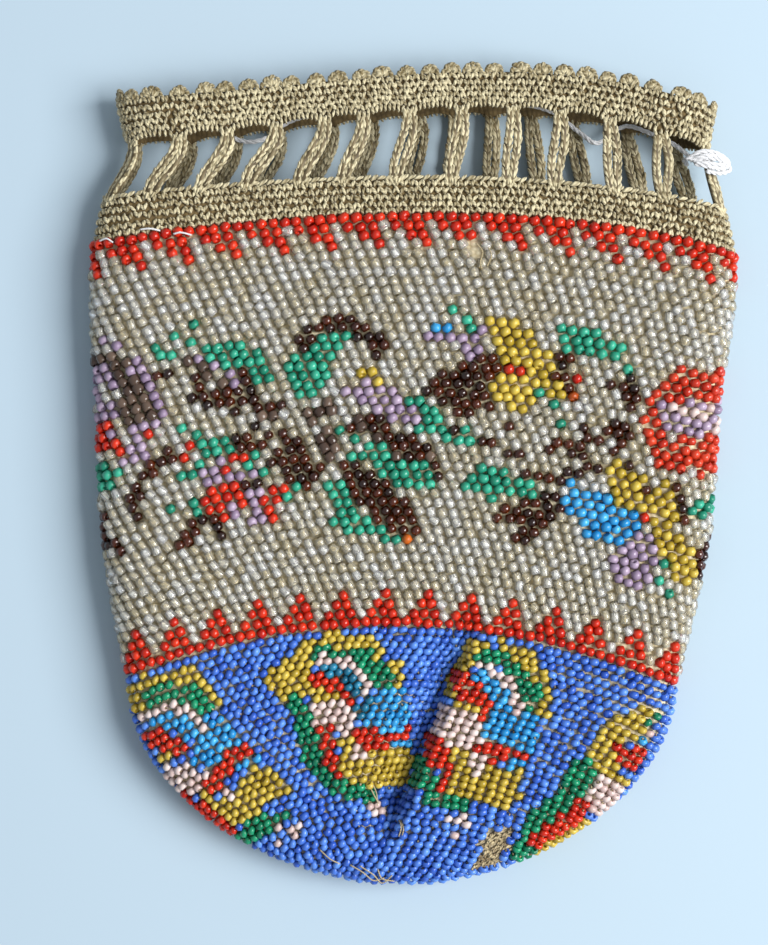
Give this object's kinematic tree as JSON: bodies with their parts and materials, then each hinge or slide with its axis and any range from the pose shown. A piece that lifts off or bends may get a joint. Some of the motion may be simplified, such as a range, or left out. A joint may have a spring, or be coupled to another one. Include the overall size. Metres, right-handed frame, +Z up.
{
  "type": "beaded reticule",
  "caption": "Small flat drawstring pouch of bead crochet with a rounded base, floral band, zigzag borders and a crocheted eyelet header with scalloped rim.",
  "frame": {"origin": "under the middle of the flattened bag, on the surface it lies on", "axes": "+Y towards the mouth, +X to the right seen from the front, +Z up out of the front"},
  "size_m": [0.1188, 0.1492, 0.0106],
  "materials": {
    "tan_silk": "crocheted twisted silk, matt with a slight sheen",
    "tan_ground": "fine crocheted thread ground under the beads",
    "red_glass": "opaque red glass seed beads, glossy",
    "clear_glass": "clear glass seed beads over tan thread, with coloured floral motifs",
    "blue_glass": "opaque blue glass seed beads with coloured motifs, glossy",
    "white_cotton": "white twisted cotton thread"
  },
  "bodies": {
    "root": {"crochet_header": "tan_silk", "crochet_ground": "tan_ground", "upper_red_zigzag_beads": "red_glass", "clear_bead_field": "clear_glass", "lower_red_zigzag_beads": "red_glass", "blue_base_beads": "blue_glass", "drawstring": "white_cotton"}
  },
  "joints": []
}
